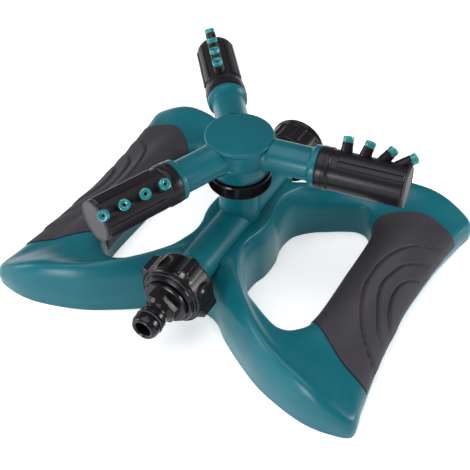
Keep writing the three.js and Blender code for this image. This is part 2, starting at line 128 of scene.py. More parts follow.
def makeStudio():
    world = bpy.data.worlds.new("studioRoom")
    bpy.context.scene.world = world
    world.use_nodes = True
    sky = world.node_tree.nodes["Background"]
    sky.inputs["Color"].default_value = studio["room"]
    sky.inputs["Strength"].default_value = studio["roomStrength"]
    for place, size, watts in studio["lamps"]:
        bpy.ops.object.light_add(type="AREA", location=place)
        lamp = bpy.context.object
        lamp.data.size = size
        lamp.data.energy = watts
        lamp.rotation_euler = (-Vector(place)).to_track_quat("-Z", "Y").to_euler()
    bpy.ops.mesh.primitive_plane_add(size=8, location=(0, 0, -0.0004))
    floor = bpy.context.object
    floor.name = "floor"
    paper = bpy.data.materials.new("paper")
    paper.use_nodes = True
    sheet = paper.node_tree.nodes["Principled BSDF"].inputs
    sheet["Base Color"].default_value = (*studio["floor"], 1)
    sheet["Roughness"].default_value = 0.9
    sheet["Emission Color"].default_value = (1, 1, 1, 1)
    sheet["Emission Strength"].default_value = studio["floorGlow"]
    floor.data.materials.append(paper)
    floor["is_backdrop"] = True


makeCamera()
makeStudio()
bpy.context.scene.view_settings.view_transform = "Standard"
print("camera and studio: done")


# ---- finishes ----

class Signal:  # one output of a node, which arithmetic can be written on
    def __init__(self, finish, socket):
        self.finish = finish
        self.socket = socket

    def maths(self, operation, first, second):
        return self.finish.node("ShaderNodeMath", {"operation": operation}, {0: first, 1: second})

    def __add__(self, other):
        return self.maths("ADD", self, other)

    def __sub__(self, other):
        return self.maths("SUBTRACT", self, other)

    def __rsub__(self, other):
        return self.maths("SUBTRACT", other, self)

    def __mul__(self, other):
        return self.maths("MULTIPLY", self, other)

    __radd__ = __add__
    __rmul__ = __mul__


class Finish:  # one material, with its shader and the nodes that feed it
    def __init__(self, name, fixed):
        self.material = bpy.data.materials.new(name)
        self.material.use_nodes = True
        self.tree = self.material.node_tree
        self.shader = self.tree.nodes["Principled BSDF"]
        for socket, value in fixed.items():
            self.shader.inputs[socket].default_value = value
        self.place = self.node("ShaderNodeTexCoord", {}, {}, "Object")

    def node(self, kind, settings, values, output=0):
        made = self.tree.nodes.new(kind)
        for key, value in settings.items():
            if key == "stops":
                for stop, (position, shade) in zip(made.color_ramp.elements, value):
                    stop.position = position
                    stop.color = (shade, shade, shade, 1)
            else:
                setattr(made, key, value)
        for key, value in values.items():
            self.feed(made.inputs[key], value)
        return Signal(self, made.outputs[output])

    def feed(self, socket, value):
        if isinstance(value, Signal):
            self.tree.links.new(value.socket, socket)
        else:
            socket.default_value = value

    def noise(self, scale, detail=2, rough=0.5, place=None):
        return self.node("ShaderNodeTexNoise", {}, {
            "Vector": place or self.place, "Scale": scale, "Detail": detail, "Roughness": rough})

    def ramp(self, value, low, high):
        return self.node("ShaderNodeValToRGB", {"stops": ((low, 0), (high, 1))}, {0: value})

    def blend(self, amount, first, second):
        return self.node("ShaderNodeMix", {"data_type": "RGBA"}, {0: amount, 6: first, 7: second}, 2)

    def dress(self, colour, roughness, height, depth):
        self.feed(self.shader.inputs["Base Color"], colour)
        self.feed(self.shader.inputs["Roughness"], roughness)
        self.feed(self.shader.inputs["Normal"], self.node("ShaderNodeBump", {}, {
            "Height": height, "Distance": depth, "Strength": 1.0}, "Normal"))


# Two shades that the tone drifts between, the roughness and how far it wanders, the grain (per
# metre) and its depth in metres, how strongly the plastic mirrors, and how much clear coat it has.
plastics = {
    "tealPlastic": {"dark": (0.003, 0.086, 0.112), "light": (0.005, 0.115, 0.145), "rough": 0.27,
                    "wander": 0.10, "grain": 2600, "depth": 0.00002, "shine": 0.22, "coat": 0.0},
    "blackPlastic": {"dark": (0.0055, 0.0045, 0.006), "light": (0.010, 0.008, 0.0105), "rough": 0.17,
                     "wander": 0.10, "grain": 3200, "depth": 0.000012, "shine": 0.25, "coat": 0.0},
    "barrelPlastic": {"dark": (0.0075, 0.006, 0.0085), "light": (0.012, 0.0095, 0.013), "rough": 0.27,
                      "wander": 0.10, "grain": 2800, "depth": 0.000018, "shine": 0.2, "coat": 0.0},
    "endCapPlastic": {"dark": (0.026, 0.024, 0.030), "light": (0.038, 0.035, 0.043), "rough": 0.5,
                      "wander": 0.08, "grain": 2400, "depth": 0.00002, "shine": 0.4, "coat": 0.0},
    "nozzlePlastic": {"dark": (0.003, 0.14, 0.155), "light": (0.007, 0.2, 0.21), "rough": 0.2,
                      "wander": 0.08, "grain": 3600, "depth": 0.00001, "shine": 0.4, "coat": 0.3},
    "bearingPlastic": {"dark": (0.55, 0.53, 0.46), "light": (0.68, 0.66, 0.6), "rough": 0.42,
                       "wander": 0.10, "grain": 2600, "depth": 0.00002, "shine": 0.5, "coat": 0.0},
}


def mouldedPlastic(name):
    look = plastics[name]
    finish = Finish(name, {"IOR": 1.5, "Specular IOR Level": look["shine"], "Coat Weight": look["coat"],
                           "Coat Roughness": 0.15})
    cloud = finish.noise(18, 3)
    flow = finish.noise(60, 2, 0.5, finish.node("ShaderNodeMapping", {}, {
        "Vector": finish.place, "Scale": (1, 1, 6)}))
    grain = finish.noise(look["grain"], 2, 0.6)
    scuffs = finish.ramp(finish.noise(240, 6, 0.75), 0.62, 0.74)
    tone = finish.ramp(cloud * 0.7 + flow * 0.3, 0.3, 0.7)
    colour = finish.blend(tone, (*look["dark"], 1), (*look["light"], 1))
    roughness = (cloud - 0.5) * look["wander"] + scuffs * 0.06 + grain * 0.05 + look["rough"]
    finish.dress(colour, roughness, grain + flow * 0.4, look["depth"])
    return finish.material


def gripRubber():
    look = {"dark": (0.020, 0.018, 0.023), "light": (0.032, 0.029, 0.035), "rough": 0.62, "depth": 0.00004}
    finish = Finish("gripRubber", {"IOR": 1.45, "Specular IOR Level": 0.42})
    cloud = finish.noise(22, 3)
    stipple = finish.node("ShaderNodeTexVoronoi", {"feature": "SMOOTH_F1"}, {
        "Vector": finish.place, "Scale": 1700, "Smoothness": 0.6}, "Distance")
    dust = finish.ramp(finish.noise(900, 4, 0.7), 0.5, 0.8)
    tone = finish.ramp(cloud + dust * 0.12, 0.3, 0.75)
    colour = finish.blend(tone, (*look["dark"], 1), (*look["light"], 1))
    roughness = (cloud - 0.5) * 0.14 + stipple * 0.1 + look["rough"]
    finish.dress(colour, roughness, stipple + dust * 0.3, look["depth"])
    return finish.material


def sealRubber():
    finish = Finish("sealRubber", {"IOR": 1.5})
    cloud = finish.noise(150, 3)
    pores = finish.noise(4000, 3, 0.7)
    colour = finish.blend(cloud, (0.008, 0.008, 0.008, 1), (0.02, 0.02, 0.021, 1))
    finish.dress(colour, cloud * 0.15 + 0.5, pores, 0.00002)
    return finish.material


def zincSteel():
    finish = Finish("zincSteel", {"Metallic": 1.0})
    spangle = finish.noise(900, 3)
    brushed = finish.noise(3000, 2, 0.5, finish.node("ShaderNodeMapping", {}, {
        "Vector": finish.place, "Scale": (1, 1, 0.05)}))
    colour = finish.blend(spangle, (0.52, 0.53, 0.55, 1), (0.66, 0.67, 0.68, 1))
    finish.dress(colour, brushed * 0.15 + spangle * 0.1 + 0.2, brushed, 0.00001)
    return finish.material


finishes = {
    "teal_plastic": mouldedPlastic("tealPlastic"),
    "grip_rubber": gripRubber(),
    "black_plastic": mouldedPlastic("blackPlastic"),
    "barrel_plastic": mouldedPlastic("barrelPlastic"),
    "end_cap_plastic": mouldedPlastic("endCapPlastic"),
    "nozzle_plastic": mouldedPlastic("nozzlePlastic"),
    "bearing_plastic": mouldedPlastic("bearingPlastic"),
    "seal_rubber": sealRubber(),
    "steel": zincSteel(),
}
for node, made in frame["nodes"].items():
    made.data.materials.clear()
    made.data.materials.append(finishes[slotOf[node]])
print("finishes:", len(finishes))


# ---- ways of working ----

def only(piece):
    bpy.ops.object.select_all(action="DESELECT")
    piece.select_set(True)
    bpy.context.view_layer.objects.active = piece


def openFresh(name):  # names the primitive just added and opens it for editing, all selected
    piece = bpy.context.object
    piece.name = name
    bpy.ops.object.mode_set(mode="EDIT")
    return piece


def tidy():  # in edit mode: joins what touches and turns the faces outwards
    bpy.ops.mesh.select_all(action="SELECT")
    bpy.ops.mesh.remove_doubles(threshold=0.002)
    bpy.ops.mesh.normals_make_consistent(inside=False)
    bpy.ops.object.mode_set(mode="OBJECT")


# A turned piece: its outline of (radius, height) corners is drawn corner by corner and spun about Z.
def spun(name, outline, steps=96):
    bpy.ops.object.select_all(action="DESELECT")
    bpy.ops.mesh.primitive_plane_add(size=2)
    piece = openFresh(name)
    bpy.ops.mesh.merge(type="CENTER")
    bpy.ops.transform.translate(value=(outline[0][0], 0, outline[0][1]))
    for (r0, z0), (r1, z1) in zip(outline, outline[1:]):
        bpy.ops.mesh.extrude_region_move(TRANSFORM_OT_translate={"value": (r1 - r0, 0, z1 - z0)})
    bpy.ops.mesh.select_all(action="SELECT")
    bpy.ops.mesh.spin(steps=steps, angle=2 * math.pi, center=(0, 0, 0), axis=(0, 0, 1))
    tidy()
    return piece


def ringOf(outline):  # an outline that closes on itself
    return [*outline, outline[0]]


def rod(name, radius, low, high, steps=48):
    bpy.ops.object.select_all(action="DESELECT")
    bpy.ops.mesh.primitive_cylinder_add(vertices=steps, radius=radius, depth=high - low,
                                        location=(0, 0, (low + high) / 2))
    piece = bpy.context.object
    piece.name = name
    bpy.ops.object.transform_apply(location=True, rotation=True, scale=True)
    return piece


def block(name, low, high):
    bpy.ops.object.select_all(action="DESELECT")
    middle = [(a + b) / 2 for a, b in zip(low, high)]
    bpy.ops.mesh.primitive_cube_add(size=1, location=middle, scale=[b - a for a, b in zip(low, high)])
    piece = bpy.context.object
    piece.name = name
    bpy.ops.object.transform_apply(location=True, rotation=True, scale=True)
    return piece


def moved(piece, *places):  # places a piece by the product of the matrices
    for place in reversed(places):
        piece.data.transform(place)
    piece.data.update()
    return piece


def copyOf(piece, name):
    twin = bpy.data.objects.new(name, piece.data.copy())
    bpy.context.scene.collection.objects.link(twin)
    return twin


def apply(piece, kind, **settings):
    change = piece.modifiers.new(kind.lower(), kind)
    for key, value in settings.items():
        setattr(change, key, value)
    only(piece)
    bpy.ops.object.modifier_apply(modifier=change.name)


def worked(piece, operation, others):  # joins or cuts a piece with several others, which are used up
    for other in others:
        apply(piece, "BOOLEAN", operation=operation, object=other, solver="MANIFOLD")
        bpy.data.objects.remove(other)
    return piece


def welded(pieces):  # joins several pieces into one mesh without cutting them
    bpy.ops.object.select_all(action="DESELECT")
    for piece in pieces:
        piece.select_set(True)
    bpy.context.view_layer.objects.active = pieces[0]
    bpy.ops.object.join()
    return pieces[0]


def soften(piece, width, segments=3, angle=30):
    apply(piece, "BEVEL", width=width, segments=segments, limit_method="ANGLE",
          angle_limit=math.radians(angle), miter_outer="MITER_ARC", harden_normals=False)
    return piece


def camel(node):
    first, *rest = node.split("_")
    return first + "".join(word.capitalize() for word in rest)


def settle(piece, node, smooth=35):  # scales a piece to metres and puts it on its node's body
    piece.name = camel(node)
    piece.data.name = piece.name
    piece.data.transform(Matrix.Scale(millimetre, 4))
    piece.data.materials.clear()
    piece.data.materials.append(finishes[slotOf[node]])
    only(piece)
    bpy.ops.object.shade_smooth_by_angle(angle=math.radians(smooth))
    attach(piece, bodyOf[node])
    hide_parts(node)
    return piece


def shift(x=0, y=0, z=0):
    return Matrix.Translation((x, y, z))


def turn(degrees, axis):
    return Matrix.Rotation(math.radians(degrees), 4, axis)


def ease(value, low, high):
    share = min(max((value - low) / (high - low), 0), 1)
    return share * share * (3 - 2 * share)


backAlongPipe = shift(z=pipeHeight) @ turn(-90, "X")    # heights become distances towards the closed end
frontAlongPipe = shift(z=pipeHeight) @ turn(90, "X")    # heights become distances towards the hose


# ---- base: one wing is lofted through stations round its hand hole, and mirrored ----

# Each station of the front right quarter: the foot of the hole's wall, the crest beside the
# hole, the ridge of the outer wall, the foot of that wall and how far the wall bellies out.
base = {
    "skin": 2.6,
    "stations": (
        ((22.1, 0), (20.7, 0, 32), (18.5, 0, 38.3), (0, 0, 38.5), 0),
        ((21.6, 8), (20.1, 8, 32), (17.8, 8.5, 38.3), (0, 11, 38.5), 0),
        ((19.5, 16), (17.8, 16.5, 32), (15.5, 17.5, 38.2), (0, 22, 38.5), 0),
        ((19.3, 25), (17.4, 25.5, 32), (15.2, 26.5, 38.2), (0, 34, 38.3), 0),
        ((21.3, 32.5), (20.3, 33.5, 31), (17.6, 35, 37.8), (0, 46.5, 36), 0),
        ((25.5, 38), (24.3, 39, 28), (20.5, 41.5, 37), (0, 50.5, 0), 0),
        ((31, 43), (29.8, 45, 25.5), (26.5, 48.5, 35.8), (14.5, 54.6, 0), 0.8),
        ((38, 47.5), (38.2, 49.5, 24), (35, 58, 34.8), (26.6, 64.7, 0), 0.8),
        ((46.5, 52.6), (47.3, 54.5, 23.5), (48, 69.5, 33.6), (43.6, 76.1, 0), 0.8),
        ((55, 56.3), (56.3, 58, 23), (62, 78.8, 32), (59.5, 84.9, 0), 0.8),
        ((61, 55.5), (63.3, 57.3, 23), (76.5, 85, 30.2), (77, 91, 0), 0.8),
        ((65.8, 51.3), (70, 53, 23.7), (91.5, 88.5, 27), (93.5, 94.3, 0), 0.8),
        ((68.8, 46), (75.5, 48.5, 24.7), (104.5, 89, 21), (107.5, 93.5, 0), 0.9),
        ((70, 41), (79, 43.5, 25.7), (114, 85, 14.8), (119, 89.2, 0), 1),
        ((70.6, 34), (81.5, 35.5, 26.3), (113, 71, 14.3), (116.9, 74, 0), 1.5),
        ((70.7, 22), (83, 22.5, 26.6), (109.8, 45, 14.4), (112, 46, 0), 2.5),
        ((70.6, 10), (83.3, 10.3, 26.7), (107.8, 21, 14.5), (109.2, 21, 0), 3),
        ((70.5, 0), (83.3, 0, 26.7), (107.4, 0, 14.5), (108.2, 0, 0), 3),
    ),
    "gripStations": (9, 26),     # first and last station of the wing that the grip reaches
    "ribThickness": 1.8,
    "ribInset": 2.2,             # the ribs reach into the skin's inner part
    "ribFoot": 0.8,              # ribs and webs stop this far above the ground
    "crossRibs": (-34, 0, 34),
    "longRibs": (40, 62),
    "web": 1,                    # half the thickness of the webs under the pipe
    "trough": 43,                # half the length of the bed that the pipe lies in
    "post": 9,
    "screwPlaces": (-27, 27),    # along the pipe
    "screwPost": 7, "screwPostFoot": 9.5, "screwHead": 5, "screwRoom": 2.2,
    "clearance": 0.3,
}


def between(before, first, last, after, share):  # a point of a centripetal Catmull-Rom curve
    gaps = [max((b - a).length, 1e-4) ** 0.5 for a, b in ((before, first), (first, last), (last, after))]
    g0, g1, g2 = gaps
    leave = ((first - before) / g0 - (last - before) / (g0 + g1) + (last - first) / g1) * g1
    arrive = ((last - first) / g1 - (after - first) / (g1 + g2) + (after - last) / g2) * g1
    s2, s3 = share ** 2, share ** 3
    return (first * (2 * s3 - 3 * s2 + 1) + leave * (s3 - 2 * s2 + share)
            + last * (3 * s2 - 2 * s3) + arrive * (s3 - s2))


def across(station, side, steps):  # the rounded section of the skin, from the hole's foot to the outer foot
    *corners, belly = station
    h, c, r, f = (Vector((x, side * y, *(z or (0,)))) for x, y, *z in corners)
    rim = h.lerp(c, 0.25)
    rim.z = 0.82 * c.z
    slope = c.lerp(r, 0.5)
    slope.z += 1.2 if f.x == 0 else -0.5
    outward = Vector((f.x - r.x, f.y - r.y, 0)).normalized() * belly
    wallTop = r.lerp(f, 0.6) + outward * 0.8
    wallTop.z = f.z + 0.82 * (r.z - f.z)
    wall = r.lerp(f, 0.92) + outward
    wall.z = f.z + 0.45 * (r.z - f.z)
    line = [h, rim, c, slope, r, wallTop, wall, f]
    line = [2 * line[0] - line[1], *line, 2 * line[-1] - line[-2]]
    spans = len(line) - 3
    points = []
    for k in range(steps + 1):
        i = min(k * spans // steps, spans - 1)
        points.append(between(*line[i:i + 4], k * spans / steps - i))
    return points


# The wing's outer surface as rows of points, with finer steps along the stations of the grip.
def wingRows(acrossSteps, alongSteps, gripSteps):
    stations = base["stations"]
    rows = [across(station, -1, acrossSteps) for station in stations]
    rows += [across(station, 1, acrossSteps) for station in stations[-2:0:-1]]
    first, last = base["gripStations"]
    made = []
    for i in range(len(rows)):
        near = [rows[(i + k) % len(rows)] for k in (-1, 0, 1, 2)]
        steps = gripSteps if first <= i < last else alongSteps
        for step in range(steps):
            made.append([between(*points, step / steps) for points in zip(*near)])
    for row in made:
        for point in row:
            point.x = max(point.x, 0)
            point.z = max(point.z, 0)
    return made


def outwards(rows):  # level at the feet, and in the middle plane where the two wings meet
    normals = []
    for i, row in enumerate(rows):
        line = []
        for j, point in enumerate(row):
            along = rows[(i + 1) % len(rows)][j] - rows[i - 1][j]
            over = row[min(j + 1, len(row) - 1)] - row[max(j - 1, 0)]
            normal = over.cross(along)
            if point.z < 0.5:
                normal.z = 0
            if point.x < 0.001:
                normal.x = 0
            line.append(normal.normalized())
        normals.append(line)
    return normals


# A closed layer of the wing between two distances from its outer surface. The outer one may be a
# function of the point, and with no inner one the wing is filled down to its feet.
def layer(name, rows, normals, outer, inner=None):
    distance = outer if callable(outer) else (lambda point: outer)
    loops = []
    for row, line in zip(rows, normals):
        out = [p + n * distance(p) for p, n in zip(row, line)]
        back = [] if inner is None else [p + n * inner for p, n in zip(row, line)]
        loops.append([*out, *reversed(back)])
    size = len(loops[0])
    corners = [(max(p.x, 0), p.y, max(p.z, 0)) for loop in loops for p in loop]
    faces = []
    for i in range(len(loops)):
        here, there = i * size, (i + 1) % len(loops) * size
        faces += [(here + j, there + j, there + (j + 1) % size, here + (j + 1) % size) for j in range(size)]
    mesh = bpy.data.meshes.new(name)
    mesh.from_pydata(corners, [], faces)
    piece = bpy.data.objects.new(name, mesh)
    bpy.context.scene.collection.objects.link(piece)
    only(piece)
    bpy.ops.object.mode_set(mode="EDIT")
    bpy.ops.mesh.select_all(action="SELECT")
    bpy.ops.mesh.normals_make_consistent(inside=False)
    bpy.ops.object.mode_set(mode="OBJECT")
    return piece


# ---- soft grips: they lie in pockets of the wings ----

grip = {
    "proud": 0.6,
    "pocket": 1.6,
    "depth": 1.3,
    "seam": 0.4,
    "rimHeight": 9,
    "step": 1.1,           # height of each terrace's edge
    "edge": 0.5,           # width over which it rises
    "groove": 1.15,        # depth of the line along each edge
    "grooveWidth": 0.6,
    "terraces": (          # (y, x) along each edge, from back to front
        ((54, 113), (49, 105.6), (44, 98.5), (35.5, 93), (21.5, 88.5), (8, 86.5),
         (-8, 87), (-20, 90.5), (-32, 96.5), (-41, 103.5), (-50, 111.5), (-58, 119)),
        ((38, 111.5), (34.3, 106.7), (30, 102.3), (24.5, 98), (14, 95), (5, 93.5),
         (-5, 94.7), (-14.3, 98.5), (-29.7, 105.5), (-38, 111)),
        ((24, 112), (19.8, 107.5), (16.4, 104.6), (10.4, 102.3), (4, 101.6),
         (-4, 102.3), (-12, 104.6), (-21, 108.7), (-28, 112.5)),
    ),
}


def gripPlan(name, grow):  # the grip's outline in plan, as a tall solid
    inner, outer = 66, 124
    g = grow
    curves = (  # start, pull and end of each bowed side, from the front round to the back
        ((75, -46 - g), (84, -52 - g), (95, -58.5 - g)),
        ((95, -58.5 - g), (106, -64.5 - g), (outer, -68 - g)),
        ((outer, 60 + g), (115 + g, 68.5 + g), (104 + g, 71 + g)),
        ((104 + g, 71 + g), (93, 72.5 + g), (85, 66.5 + g)),
        ((85, 66.5 + g), (77 - g, 60.5 + g), (inner, 47 + g)),
    )
    outline = [(inner, -40 - g)]
    for start, pull, end in curves:
        for k in range(12):
            t = k / 11
            outline.append(tuple(a * (1 - t) ** 2 + 2 * b * t * (1 - t) + c * t ** 2
                                 for a, b, c in zip(start, pull, end)))
    bpy.ops.object.select_all(action="DESELECT")
    bpy.ops.mesh.primitive_plane_add(size=2)
    piece = openFresh(name)
    bpy.ops.mesh.merge(type="CENTER")
    bpy.ops.transform.translate(value=(*outline[0], grip["rimHeight"] - grow))
    for (x0, y0), (x1, y1) in zip(outline, outline[1:]):
        bpy.ops.mesh.extrude_region_move(TRANSFORM_OT_translate={"value": (x1 - x0, y1 - y0, 0)})
    bpy.ops.mesh.select_all(action="SELECT")
    bpy.ops.mesh.remove_doubles(threshold=0.01)
    bpy.ops.mesh.edge_face_add()
    bpy.ops.mesh.extrude_region_move(TRANSFORM_OT_translate={"value": (0, 0, 40)})
    tidy()
    return piece


def terraceHeight(point):  # the grip's face rises sharply at each edge and eases back down to the next
    height = 0
    for edge in grip["terraces"]:
        top, bottom = edge[0][0], edge[-1][0]
        if not bottom < point.y < top:
            continue
        k = next(i for i in range(len(edge) - 1) if edge[i + 1][0] <= point.y <= edge[i][0])
        near = [Vector((*edge[min(max(k + i, 0), len(edge) - 1)], 0)) for i in (-1, 0, 1, 2)]
        share = (edge[k][0] - point.y) / (edge[k][0] - edge[k + 1][0])
        here = between(*near, share)
        ahead = between(*near, min(share + 0.05, 1))
        rise = (ahead - here) if share < 0.95 else (here - between(*near, share - 0.05))
        lean = math.hypot(1, rise.y / min(rise.x, -1e-4))
        distance = (point.x - here.y) / lean
        fade = min((top - point.y) / 9, (point.y - bottom) / 12, 1)
        stair = min(max(distance / grip["edge"] + 0.5, 0), 1)
        easing = max(1 - max(distance, 0) / 14, 0)
        groove = -grip["groove"] * math.exp(-(distance / grip["grooveWidth"]) ** 2)
        height += (grip["step"] * stair * stair * (3 - 2 * stair) * easing + groove) * fade
    return grip["proud"] * ease(point.z, grip["rimHeight"], grip["rimHeight"] + 4) + height


def makeBase():
    skinRows = wingRows(42, 5, 6)
    skinNormals = outwards(skinRows)
    skin = layer("skin", skinRows, skinNormals, 0, -base["skin"])
    pocket = layer("pocket", skinRows, skinNormals, 4, -grip["pocket"])
    worked(pocket, "INTERSECT", [gripPlan("pocketPlan", grip["seam"])])
    worked(skin, "DIFFERENCE", [pocket])
    only(skin)
    bpy.ops.object.mode_set(mode="EDIT")
    bpy.ops.mesh.select_all(action="DESELECT")
    bpy.ops.object.mode_set(mode="OBJECT")
    for face in skin.data.polygons:     # the faces on the middle plane
        face.select = all(abs(skin.data.vertices[i].co.x) < 0.0005 for i in face.vertices)
    bpy.ops.object.mode_set(mode="EDIT")
    bpy.ops.mesh.delete(type="FACE")
    bpy.ops.object.mode_set(mode="OBJECT")
    apply(skin, "MIRROR", use_axis=(True, False, False), use_mirror_merge=True, merge_threshold=0.002)

    filled = layer("filled", skinRows[::2], skinNormals[::2], -base["ribInset"])
    half, foot = base["ribThickness"] / 2, base["ribFoot"]
    ribs = [block("rib", (68, y - half, foot), (115, y + half, 34)) for y in base["crossRibs"]]
    ribs += [block("rib", (x - half, low, foot), (x + half, high, 34))
             for x in base["longRibs"] for low, high in ((-100, -45), (45, 100))]
    worked(filled, "INTERSECT", [welded(ribs)])
    apply(filled, "MIRROR", use_axis=(True, False, False), use_mirror_merge=False)

    gap, web, reach = base["clearance"], base["web"], base["trough"]
    bed = tee["pipe"] + gap
    outer = bed + base["skin"]
    trough = spun("trough", ringOf([(bed, -reach), (outer, -reach), (outer, reach), (bed, reach)]))
    moved(trough, backAlongPipe)
    worked(trough, "INTERSECT", [block("lowerHalf", (-20, -60, 0), (20, 60, pipeHeight + 1))])
    braces = [filled, trough, rod("post", base["post"], 0, pipeHeight - 8),
              block("crossWeb", (-20, -web, foot), (20, web, 30)),
              block("longWeb", (-web, -49, foot), (web, 49, 27))]
    seat = base["screwPostFoot"]
    for y in base["screwPlaces"]:
        braces += [block("screwWeb", (-17.8, y - web, foot), (17.8, y + web, 30)),
                   moved(rod("screwPost", base["screwPost"], seat, 27), shift(y=y))]
    worked(skin, "UNION", braces)

    clear = [moved(rod("pipeRoom", bed, -60, 60, 96), backAlongPipe),
             rod("riserRoom", tee["riser"] + gap, pipeHeight - 2, 60, 96)]
    for y in base["screwPlaces"]:
        rooms = [rod("bossRoom", tee["boss"] + gap, tee["bossFoot"] - gap, 40),
                 rod("screwRoom", base["screwRoom"], 0, 30), rod("headRoom", base["screwHead"], -1, seat)]
        clear += [moved(room, shift(y=y)) for room in rooms]
    worked(skin, "DIFFERENCE", clear)
    settle(skin, "base_shell", 32)


def makeGrips():
    rows = wingRows(133, 1, 18)
    right = layer("rightGrip", rows, outwards(rows), terraceHeight, -grip["depth"])
    worked(right, "INTERSECT", [gripPlan("gripEdge", 0)])
    left = moved(copyOf(right, "leftGrip"), Matrix.Scale(-1, 4, (1, 0, 0)))
    left.data.flip_normals()
    settle(right, "right_grip", 50)
    settle(left, "left_grip", 50)


# ---- water pipe with its riser, and what closes them ----

tee = {
    "pipe": 10.8, "bore": 8.2, "front": -61, "back": 64.5, "threadLength": 11,
    "root": 12.1, "crest": 13.2, "pitch": 1.814, "threadTurns": 5,
    "end": 11.4,              # the pipe swells to this behind each thread
    "seam": -53,              # a faint ring round the pipe, where the mould's slide met
    "riser": 12.3, "riserBore": 10.3, "neck": 14.7, "neckFoot": 64.6, "neckTop": 67.8,
    "boss": 4.4, "bossFoot": 20.5,
}


def thread(name, start):  # a right-handed ridge that winds along +Z, closed at both ends
    bpy.ops.object.select_all(action="DESELECT")
    bpy.ops.mesh.primitive_plane_add(size=2)
    piece = openFresh(name)
    bpy.ops.mesh.merge(type="CENTER")
    sunk = tee["root"] - 0.4
    rise = tee["crest"] - sunk - 0.2
    bpy.ops.transform.translate(value=(sunk, 0, start))
    for x, z in ((rise, 0.55), (0.2, 0.1), (0, 0.25), (-0.2, 0.1)):
        bpy.ops.mesh.extrude_region_move(TRANSFORM_OT_translate={"value": (x, 0, z)})
    bpy.ops.mesh.select_all(action="SELECT")
    bpy.ops.mesh.edge_face_add()
    bpy.ops.mesh.delete(type="ONLY_FACE")
    bpy.ops.object.mode_set(mode="OBJECT")
    apply(piece, "SCREW", angle=2 * math.pi, screw_offset=tee["pitch"], iterations=tee["threadTurns"],
          steps=64, render_steps=64, use_merge_vertices=False)
    only(piece)
    bpy.ops.object.mode_set(mode="EDIT")
    bpy.ops.mesh.select_all(action="SELECT")
    bpy.ops.mesh.fill_holes(sides=8)
    tidy()
    return piece


def makeTee():
    front, back, length = tee["front"], tee["back"], tee["threadLength"]
    pipe, end, root, seam = tee["pipe"], tee["end"], tee["root"], tee["seam"]
    outline = [(0, front - length), (root - 0.8, front - length), (root, front - length + 0.8),
               (root, front - 0.9), (end, front - 0.2), (end, front + 3), (end - 0.1, front + 3.4),
               (pipe, front + 7.2), (pipe, seam - 0.25), (pipe - 0.18, seam), (pipe, seam + 0.25),
               (pipe, back - 8), (end, back - 3), (end, back), (root, back + 0.9),
               (root, back + length - 0.8), (root - 0.8, back + length), (0, back + length)]
    body = moved(spun("waterTee", outline, 128), backAlongPipe)
    neck, foot, top = tee["neck"], tee["neckFoot"], tee["neckTop"]
    riser = tee["riser"]
    parts = [
        spun("riser", [(0, pipeHeight), (riser + 0.15, pipeHeight), (riser, 50), (riser, foot - 1.2),
                       (neck, foot), (neck, top - 0.5), (neck - 0.5, top), (0, top)], 128),
        moved(thread("outletThread", back + 1.2), backAlongPipe),
        moved(thread("inletThread", -front + 1.2), frontAlongPipe),
    ]
    for y in base["screwPlaces"]:
        parts.append(moved(rod("boss", tee["boss"], tee["bossFoot"], pipeHeight - 8.6), shift(y=y)))
    worked(body, "UNION", parts)
    rooms = [moved(rod("bore", tee["bore"], -90, 90, 64), backAlongPipe),
             rod("riserBore", tee["riserBore"], 49, 80, 64),
             rod("lowerBore", tee["bore"], pipeHeight, 50, 64)]
    for y in base["screwPlaces"]:
        rooms.append(moved(rod("screwHole", 1.9, 0, 27.2, 24), shift(y=y)))
    worked(body, "DIFFERENCE", rooms)
    settle(body, "water_tee", 32)


ring = {"bottom": 64, "top": 73, "radius": 18.8, "bore": 15.1, "lip": 71.2, "lipBore": 9.4,
        "ribs": 60, "ribDepth": 0.5}


def makeRing():  # every second face of the rim is pressed in, which leaves fine upright ribs
    low, high, r, bore = (ring[key] for key in ("bottom", "top", "radius", "bore"))
    lip, lipBore = ring["lip"], ring["lipBore"]
    piece = spun("ring", ringOf([
        (bore, low), (r - 1.2, low), (r - 0.4, low + 0.3), (r, low + 1), (r, low + 1.6), (r, high - 1.5),
        (r, high - 0.9), (r - 0.3, high - 0.3), (r - 1, high), (lipBore, high), (lipBore, lip),
        (bore, lip)]), 2 * ring["ribs"])
    only(piece)
    bpy.ops.object.mode_set(mode="EDIT")
    bpy.ops.mesh.select_all(action="DESELECT")
    bpy.ops.object.mode_set(mode="OBJECT")
    step = math.pi / ring["ribs"]
    for face in piece.data.polygons:
        middle = face.center
        outer = abs(face.normal.z) < 0.01 and middle.xy.length > r - 0.1 and low + 2 < middle.z < high - 2
        count = int(math.atan2(middle.y, middle.x) // step)
        face.select = outer and count % 2 == 0
    bpy.ops.object.mode_set(mode="EDIT")
    bpy.ops.mesh.inset(thickness=0.14, depth=-ring["ribDepth"], use_individual=True)
    bpy.ops.object.mode_set(mode="OBJECT")
    settle(piece, "retaining_ring", 25)


nut = {
    "back": 62, "front": 80, "radius": 18.6, "bore": 13.6, "lip": 76.5, "lipBore": 10.2,
    "lobes": 4, "lobeHeight": 3.6, "firstLobe": 68,     # degrees from +X in the nut's own frame
    "lobeTop": 4.5, "lobeFoot": 22,                      # half angles of a lobe, degrees
    "lobeEnds": (62, 63.6, 74.6, 77.4),                  # where a lobe starts, is full, stays full and ends
    "lobeSteps": 24,
    "dimple": 6.4, "dimpleDepth": 2.0, "dimplePlace": 71, "dimpleStretch": 1.25,
}


